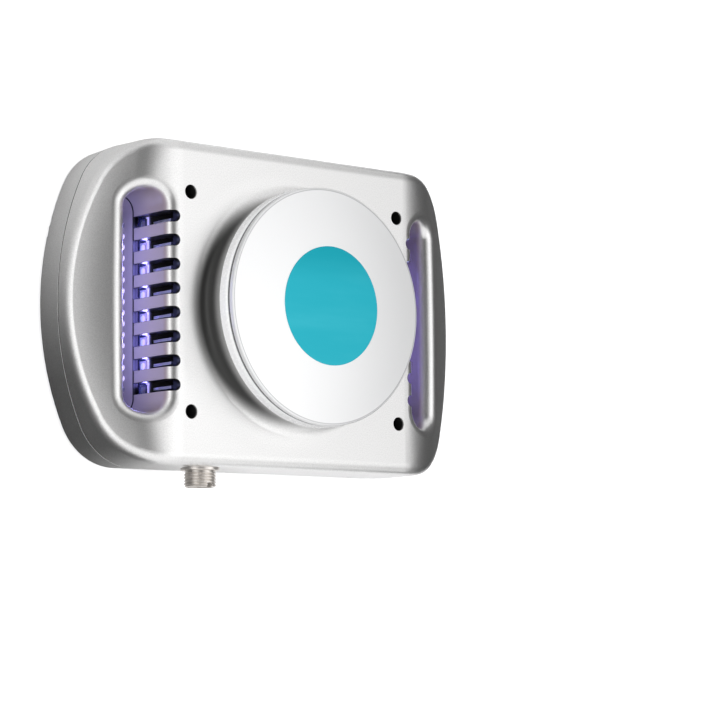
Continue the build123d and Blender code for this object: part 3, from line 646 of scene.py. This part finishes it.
def lightBoardMaterial():
    look = boardFinish
    material, tree, shader = newMaterial("light_board")
    fine = grainOf(tree, 160.0, 3.0)
    z = axes(tree)[2]
    # painted light: a striped band of painted reflection that also glows, above the light sources
    inPaintedGlow = fade(tree, z, *look["bandFrom"])
    wave = calc(tree, "SINE", times(tree, z, 2 * math.pi / look["stripePitch"]))
    paintedGlowStripes = blendColour(tree, fade(tree, wave, *look["stripeEdge"]), *look["paintedGlowStripes"])
    mask = blendColour(tree, fine, *look["mask"])
    setInputs(tree, shader, {
        "Base Color": blendColour(tree, inPaintedGlow, mask, paintedGlowStripes),
        "Roughness": 0.35,
        "Emission Color": paintedGlowStripes,
        "Emission Strength": times(tree, inPaintedGlow, look["bandGlow"]),
        "Normal": bumpOf(tree, fine, 0.2, 0.00003),
    })
    return material


dress(["heat_sink"], sinkMaterial())
dress(["light_board_left", "light_board_right"], lightBoardMaterial())

# light sources behind the vents and in the comb, dimmed in the outermost vents
lightFinish = {
    "lens": ((0.30, 0.28, 0.42, 1), (0.36, 0.33, 0.48, 1)),
    "lensDimmed": (0.008, 0.02, 0.08, 1),
    "glow": (0.50, 0.60, 1.0, 1),
    "guide": (0.76, 0.64, 1.0, 1),
    "blush": (0.86, 0.68, 1.0, 1),
    "blushFrom": (0.0170, 0.0182),
    "domeStrength": 0.60,
    "guideStrength": 0.95,
    "housingStrength": 0.12,
    "dimEdge": (0.036, 0.038),
    "dimmed": 0.15,
}


def emitterMaterial(name, colour, strength):
    look = lightFinish
    material, tree, shader = newMaterial(name)
    x, y, z = axes(tree)
    absY = absolute(tree, y)
    lens = blendColour(tree, grainOf(tree, 900.0, 2.0), *look["lens"])
    outer = fade(tree, absY, *look["dimEdge"])
    level = fade(tree, absY, *look["dimEdge"], 1.0, look["dimmed"])
    setInputs(tree, shader, {
        "Base Color": blendColour(tree, outer, lens, look["lensDimmed"]),
        "Roughness": 0.3,
        "Emission Color": blendColour(tree, fade(tree, z, *look["blushFrom"]), colour,
                                      look["blush"]),
        "Emission Strength": times(tree, level, strength),
    })
    return material


domeGlow = emitterMaterial("emitter_glow", lightFinish["glow"], lightFinish["domeStrength"])
guideGlow = emitterMaterial("guide_glow", lightFinish["guide"], lightFinish["guideStrength"])
housingGlow = emitterMaterial("housing_glow", lightFinish["glow"], lightFinish["housingStrength"])
dress(["emitters_left", "emitters_right"], domeGlow)
print("inner pieces finished")


# geometry-node helpers
def newTree(name, sizes):
    tree = bpy.data.node_groups.new(name, "GeometryNodeTree")
    face = tree.interface
    face.new_socket("Places", in_out="INPUT", socket_type="NodeSocketGeometry")
    for label, value in sizes.items():
        kind = "NodeSocketInt" if isinstance(value, int) else "NodeSocketFloat"
        if isinstance(value, tuple):
            kind = "NodeSocketVector"
        face.new_socket(label, in_out="INPUT", socket_type=kind).default_value = value
    face.new_socket("Finish", in_out="INPUT", socket_type="NodeSocketMaterial")
    face.new_socket("Result", in_out="OUTPUT", socket_type="NodeSocketGeometry")
    return tree, put(tree, "NodeGroupInput").outputs, put(tree, "NodeGroupOutput")


# runs a tree on a cloud of places and leaves a plain mesh
def grow(name, tree, places, sizes, material):
    host = newMesh(name + "_host", places, [])
    modifier = host.modifiers.new("grow", "NODES")
    modifier.node_group = tree
    for item in tree.interface.items_tree:
        if item.in_out == "INPUT" and item.name in sizes:
            modifier[item.identifier] = sizes[item.name]
        if item.in_out == "INPUT" and item.name == "Finish":
            modifier[item.identifier] = material
    mesh = settled(host)
    mesh.name = name
    piece = bpy.data.objects.new(name, mesh)
    scene.collection.objects.link(piece)
    bpy.data.objects.remove(host)
    return piece


# the mesh that an object has once its modifiers have run
def settled(piece):
    bpy.context.view_layer.update()
    ready = piece.evaluated_get(bpy.context.evaluated_depsgraph_get())
    return bpy.data.meshes.new_from_object(ready)


# a closed round surface: a grid whose x runs along the profile and whose y runs round the axis
def roundGrid(tree, around, along, radius, height):
    grid = put(tree, "GeometryNodeMeshGrid", {
        "Size X": 1.0, "Size Y": 1.0, "Vertices X": along, "Vertices Y": around,
    }).outputs["Mesh"]
    position = put(tree, "GeometryNodeInputPosition").outputs[0]
    spot = put(tree, "ShaderNodeSeparateXYZ", {0: position}).outputs
    share = plus(tree, spot[0], 0.5)
    angle = times(tree, plus(tree, spot[1], 0.5), 2 * math.pi)
    r, z = radius(share, angle), height(share, angle)
    point = vector(tree, times(tree, r, calc(tree, "COSINE", angle)),
                   times(tree, r, calc(tree, "SINE", angle)), z)
    moved = put(tree, "GeometryNodeSetPosition", {"Geometry": grid, "Position": point}).outputs[0]
    return put(tree, "GeometryNodeMergeByDistance", {
        "Geometry": moved, "Distance": 1e-6,
    }).outputs[0]


def moveUp(tree, shape, height):
    inputs = {"Geometry": shape, "Translation": vector(tree, z=height)}
    return put(tree, "GeometryNodeTransform", inputs).outputs[0]


def cutAway(tree, shape, cutter):
    cut = put(tree, "GeometryNodeMeshBoolean", {"Mesh 1": shape}, operation="DIFFERENCE")
    tree.links.new(cutter, cut.inputs["Mesh 2"])
    return cut.outputs[0]


def endTree(tree, inputs, output, shape, turn):
    shaded = put(tree, "GeometryNodeSetShadeSmooth", {
        "Geometry": shape, "Shade Smooth": True}).outputs[0]
    spread = put(tree, "GeometryNodeInstanceOnPoints", {
        "Points": inputs["Places"], "Instance": shaded, "Rotation": turn}).outputs[0]
    real = put(tree, "GeometryNodeRealizeInstances", {0: spread}).outputs[0]
    done = put(tree, "GeometryNodeSetMaterial", {
        "Geometry": real, "Material": inputs["Finish"]}).outputs[0]
    tree.links.new(done, output.inputs[0])


# pan-head screw with a cross recess and a helical thread, pointing down its own axis
smallScrew = {"Shank": 0.0015, "Pitch": 0.0006, "Thread": 0.0002, "Head": 0.00275,
              "Head Height": 0.0018, "Recess": 0.0018}
screwSizes = {
    "case": {"Shank": 0.00175, "Length": 0.0204, "Pitch": 0.0008, "Thread": 0.00028,
             "Head": 0.0032, "Head Height": 0.0022, "Recess": 0.0021, "Rings": 205,
             "Turn": (0.0, 0.0, 0.0)},
    "clamp": {**smallScrew, "Length": 0.0184, "Rings": 185, "Turn": (0.0, 0.0, 0.0)},
    "sink": {**smallScrew, "Length": 0.0088, "Rings": 90, "Turn": (math.pi, 0.0, 0.0)},
    "fan": {**smallScrew, "Length": 0.0217, "Rings": 218, "Turn": (0.0, 0.0, 0.0)},
}

# shares of a screw's own sizes: fades along the profile, powers of the head's curve
screwShape = {
    "sinkIn": 0.3,
    "threadEdge": (0.12, 0.44),
    "tip": (0.93, 1.0, 0.0, 0.35),
    "pole": 0.002,
    "domeShare": 0.8,
    "domeWidth": 0.55,
    "domeHeight": 0.7,
    "armLength": 2.0,
    "armWidth": 0.42,
    "shankSides": 21,
    "headSides": 25,
    "headRings": 24,
    "seed": 4,
}


def screwTree():
    shape = screwShape
    tree, inputs, output = newTree("screwMaker", screwSizes["case"])
    overlap = times(tree, inputs["Head Height"], shape["sinkIn"])

    def shankHeight(share, angle):
        return minus(tree, overlap, times(tree, share, plus(tree, inputs["Length"], overlap)))

    def shankRadius(share, angle):
        down = calc(tree, "DIVIDE", shankHeight(share, angle), inputs["Pitch"])
        wave = calc(tree, "FRACT", plus(tree, down, calc(tree, "DIVIDE", angle, 2 * math.pi)))
        crest = fade(tree, absolute(tree, minus(tree, wave, 0.5)), *shape["threadEdge"])
        cut = times(tree, inverse(tree, crest), inputs["Thread"])
        tip = fade(tree, share, *shape["tip"])
        whole = times(tree, minus(tree, inputs["Shank"], cut), inverse(tree, tip))
        return times(tree, whole, calc(tree, "GREATER_THAN", share, shape["pole"]),
                     calc(tree, "LESS_THAN", share, 1 - shape["pole"]))

    def headAngle(share):
        quarter = 0.5 * math.pi
        return calc(tree, "MINIMUM", times(tree, share, quarter / shape["domeShare"]), quarter)

    def headRadius(share, angle):
        dome = calc(tree, "POWER", calc(tree, "SINE", headAngle(share)), shape["domeWidth"])
        under = fade(tree, share, shape["domeShare"], 1.0, 1.0, 0.0)
        return times(tree, inputs["Head"], times(tree, dome, under))

    def headHeight(share, angle):
        rise = larger(tree, calc(tree, "COSINE", headAngle(share)), 0.0)
        return times(tree, inputs["Head Height"],
                     calc(tree, "POWER", rise, shape["domeHeight"]))

    shank = roundGrid(tree, shape["shankSides"], inputs["Rings"], shankRadius, shankHeight)
    head = roundGrid(tree, shape["headSides"], shape["headRings"], headRadius, headHeight)
    cross = put(tree, "GeometryNodeMeshBoolean", operation="UNION")
    for long, wide in ((shape["armLength"], shape["armWidth"]),
                       (shape["armWidth"], shape["armLength"])):
        size = vector(tree, times(tree, inputs["Recess"], long),
                      times(tree, inputs["Recess"], wide), inputs["Head Height"])
        arm = put(tree, "GeometryNodeMeshCube", {"Size": size}).outputs[0]
        tree.links.new(moveUp(tree, arm, inputs["Head Height"]), cross.inputs["Mesh 2"])
    join = put(tree, "GeometryNodeJoinGeometry")
    tree.links.new(shank, join.inputs[0])
    tree.links.new(cutAway(tree, head, cross.outputs[0]), join.inputs[0])
    spin = put(tree, "FunctionNodeRandomValue", {
        "Min": (0.0, 0.0, 0.0), "Max": (0.0, 0.0, math.pi), "Seed": shape["seed"],
    }, data_type="FLOAT_VECTOR").outputs[0]
    turn = put(tree, "ShaderNodeVectorMath", {0: inputs["Turn"], 1: spin}, operation="ADD")
    endTree(tree, inputs, output, join.outputs[0], turn.outputs[0])
    return tree


def fourCorners(x, y, z):
    return [(x, y, z), (-x, y, z), (-x, -y, z), (x, -y, z)]


def fourSides(radius, z):
    return [(radius, 0, z), (0, radius, z), (-radius, 0, z), (0, -radius, z)]


# undersides of the heads
screwPlaces = {
    "case": fourCorners(0.0674, 0.0544, 0.0270),
    "clamp": fourSides(0.0446, 0.0598),
    "sink": fourCorners(0.0565, 0.0453, 0.0400),
    "fan": fourCorners(0.0525, 0.0525, 0.0231),
}
screws = screwTree()
for kind, places in screwPlaces.items():
    made = grow(kind + "_screws_threaded", screws, places, screwSizes[kind],
                materials["polished_steel"])
    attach(made, "case")
    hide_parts(kind + "_screws")
print("screws made")

# light source: a low housing with a cup and a clear dome, and the light guides of the comb
ledSizes = {"Width": 0.0050, "Depth": 0.0009, "Cup": 0.0021, "Turn": (0.0, math.pi / 2, 0.0)}
lensSizes = {"Radius": 0.00190, "Rise": 0.0007, "Base": 0.0006, "Turn": (0.0, math.pi / 2, 0.0)}
guideSizes = {"Radius": 0.00145, "Rise": 0.0004, "Base": 0.0001, "Turn": (0.0, math.pi / 2, 0.0)}
rowSizes = {
    "ledCount": 8,
    "ledPitch": 0.0119,
    "guideCount": 16,
    "guidePitch": 0.0055,
    "guideX": 0.0794,
    "guideZ": 0.0105,
}


def ledTree():
    tree, inputs, output = newTree("lightHousing", ledSizes)
    width, depth = inputs["Width"], inputs["Depth"]
    body = put(tree, "GeometryNodeMeshCube", {
        "Size": vector(tree, width, width, depth), "Vertices X": 2, "Vertices Y": 2,
        "Vertices Z": 2}).outputs[0]
    body = moveUp(tree, body, times(tree, depth, 0.5))
    cup = put(tree, "GeometryNodeMeshCone", {
        "Vertices": 24, "Radius Top": inputs["Cup"],
        "Radius Bottom": times(tree, inputs["Cup"], 0.7), "Depth": depth}).outputs["Mesh"]
    cup = moveUp(tree, cup, times(tree, depth, 0.45))
    endTree(tree, inputs, output, cutAway(tree, body, cup), inputs["Turn"])
    return tree


def lensTree(domeShare=0.7, sides=21, rings=12):
    tree, inputs, output = newTree("lightDome", lensSizes)

    def lensAngle(share):
        quarter = 0.5 * math.pi
        return calc(tree, "MINIMUM", times(tree, share, quarter / domeShare), quarter)

    def lensRadius(share, angle):
        under = fade(tree, share, domeShare, 1.0, 1.0, 0.0)
        return times(tree, inputs["Radius"],
                     times(tree, calc(tree, "SINE", lensAngle(share)), under))

    def lensHeight(share, angle):
        dome = times(tree, inputs["Rise"], calc(tree, "COSINE", lensAngle(share)))
        return plus(tree, dome, inputs["Base"])

    dome = roundGrid(tree, sides, rings, lensRadius, lensHeight)
    endTree(tree, inputs, output, dome, inputs["Turn"])
    return tree


# evenly spaced values with their middle at zero
def spaced(count, pitch):
    return [(index - (count - 1) / 2) * pitch for index in range(count)]


housings, domes = ledTree(), lensTree()
for side, name in ((-1, "left"), (1, "right")):
    turn = {"Turn": (0.0, side * math.pi / 2, 0.0)}
    low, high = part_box("emitters_" + name)
    onBoard = high.x if side < 0 else low.x
    middle = (low.z + high.z) / 2
    places = [(onBoard, y, middle) for y in spaced(rowSizes["ledCount"], rowSizes["ledPitch"])]
    housing = grow("light_housings_" + name, housings, places, {**ledSizes, **turn}, housingGlow)
    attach(housing, "case")
    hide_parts("emitters_" + name)
    dome = grow("light_domes_" + name, domes, places, {**lensSizes, **turn}, domeGlow)
    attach(dome, "case")
    places = [(side * rowSizes["guideX"], y, rowSizes["guideZ"])
              for y in spaced(rowSizes["guideCount"], rowSizes["guidePitch"])]
    guide = grow("light_guides_" + name, domes, places, {**guideSizes, **turn}, guideGlow)
    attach(guide, "case")
print("light sources made")

# supply socket: threaded barrel with flange, bore and key slot, its axis along -Y
socketSizes = {
    "x": -0.0510,
    "z": 0.0350,
    "seat": -0.080544,
    "flange": 0.0095,
    "flangeThick": 0.0016,
    "flangeRound": 0.0006,
    "barrel": 0.0080,
    "bore": 0.0066,
    "outside": 0.0082,
    "inside": 0.0090,
    "pitch": 0.0015,
    "threadDepth": 0.00075,
    "crestSlope": 2.6,
    "undercut": 0.0009,
    "chamfer": 0.0005,
    "keyWidth": 0.0026,
    "keyDepth": 0.0020,
    "keyHeight": 0.0030,
    "keyRise": 0.0008,
    "segments": 96,
    "steps": 10,
    "sharpDegrees": 34,
}


# the barrel's section as a closed loop: distance out from the seat, radius, thread or none
def socketProfile(size, tip):
    def threadRun(start, end):
        count = max(2, round(abs(end - start) / size["pitch"] * size["steps"]))
        return [(start + (end - start) * step / count, size["barrel"], True)
                for step in range(count + 1)]

    barrel, bore, inside = size["barrel"], size["bore"], size["inside"]
    root = barrel - size["threadDepth"]
    chamfer, flange = size["chamfer"], size["flangeThick"]
    rim, rimRound = size["flange"], size["flangeRound"]
    profile = [(-inside, bore, False), (tip - chamfer * 0.4, bore, False),
               (tip, bore + chamfer * 0.4, False), (tip, root - 0.0002, False),
               (tip - chamfer, barrel - 0.0001, False)]
    profile += threadRun(tip - chamfer - 0.0001, flange + size["undercut"])
    profile += [(flange + size["undercut"] * 0.8, root, False), (flange, root, False),
                (flange, rim - rimRound, False), (flange - rimRound / 2, rim - 0.0001, False),
                (flange - rimRound, rim, False), (0.0, rim, False), (0.0, barrel, False)]
    profile += threadRun(-0.0006, -inside + 0.0004)
    return profile + [(-inside, root, False)]


def barrelMesh(size, tip):
    bm = bmesh.new()
    rings = []
    for out, radius, threaded in socketProfile(size, tip):
        ring = []
        for step in range(size["segments"]):
            share = step / size["segments"]
            wave = (out / size["pitch"] + share) % 1.0
            crest = min(1.0, abs(wave - 0.5) * size["crestSlope"])
            r = radius - size["threadDepth"] * (1 - crest) if threaded else radius
            angle = 2 * math.pi * share
            ring.append(bm.verts.new((size["x"] + r * math.cos(angle), size["seat"] - out,
                                      size["z"] + r * math.sin(angle))))
        rings.append(ring)
    for first, second in zip(rings, rings[1:] + rings[:1]):
        for step in range(size["segments"]):
            after = (step + 1) % size["segments"]
            bm.faces.new((first[step], first[after], second[after], second[step]))
    bmesh.ops.recalc_face_normals(bm, faces=bm.faces)
    for face in bm.faces:
        face.smooth = True
    mesh = bpy.data.meshes.new("socket_barrel")
    bm.to_mesh(mesh)
    bm.free()
    mesh.materials.append(materials["nickel"])
    mesh.set_sharp_from_angle(angle=math.radians(size["sharpDegrees"]))
    return mesh


# block that cuts the key slot into the barrel's mouth
def keyCutter(size, tip):
    bm = bmesh.new()
    centre = (size["x"], size["seat"] - tip, size["z"] + size["bore"] + size["keyRise"])
    extent = Matrix.Diagonal((size["keyWidth"], 2 * size["keyDepth"], size["keyHeight"], 1))
    bmesh.ops.create_cube(bm, size=1.0, matrix=Matrix.Translation(centre) @ extent)
    mesh = bpy.data.meshes.new("key_cutter")
    bm.to_mesh(mesh)
    bm.free()
    key = bpy.data.objects.new("key_cutter", mesh)
    scene.collection.objects.link(key)
    return key


def makeSocket(size):
    tip = size["flangeThick"] + size["outside"]
    barrel = bpy.data.objects.new("socket_barrel", barrelMesh(size, tip))
    scene.collection.objects.link(barrel)
    key = keyCutter(size, tip)
    cutter = barrel.modifiers.new("key", "BOOLEAN")
    cutter.object = key
    cutter.solver = "EXACT"
    mesh = settled(barrel)
    barrel.modifiers.clear()
    barrel.data = mesh
    bpy.data.objects.remove(key)
    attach(barrel, "case")
    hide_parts("socket_shell")


makeSocket(socketSizes)
print("supply socket made")

# glow of the light sources on the slot walls and down through the comb, per side:
# x values are for the right side and turn over for the left
glowLamps = {
    "slotGlow": {"direction": (-1, 0, 0), "size": (0.080, 0.004), "power": 0.023,
                 "colour": (0.30, 0.27, 1.0), "target": (0.0755, 0, 0.0225)},
    "fingerGlow": {"direction": (1, 0, 0.15), "size": (0.090, 0.014), "power": 0.015,
                   "colour": (0.45, 0.50, 1.0), "target": (0.0955, 0, 0.022)},
    "combGlow": {"direction": (-0.9, 0, 0.4), "size": (0.088, 0.004), "power": 0.010,
                 "colour": (0.30, 0.27, 1.0), "target": (0.0735, 0, 0.0105)},
}


def glowLamp(name, side, direction, target, **settings):
    softbox(name, (side * direction[0], *direction[1:]), 0.0,
            target=(side * target[0], *target[1:]), up=(0, 0, 1), hiddenFrom="camera", **settings)


for side in (-1, 1):
    for name, lamp in glowLamps.items():
        glowLamp(name, side, **lamp)
print("glow lamps made")
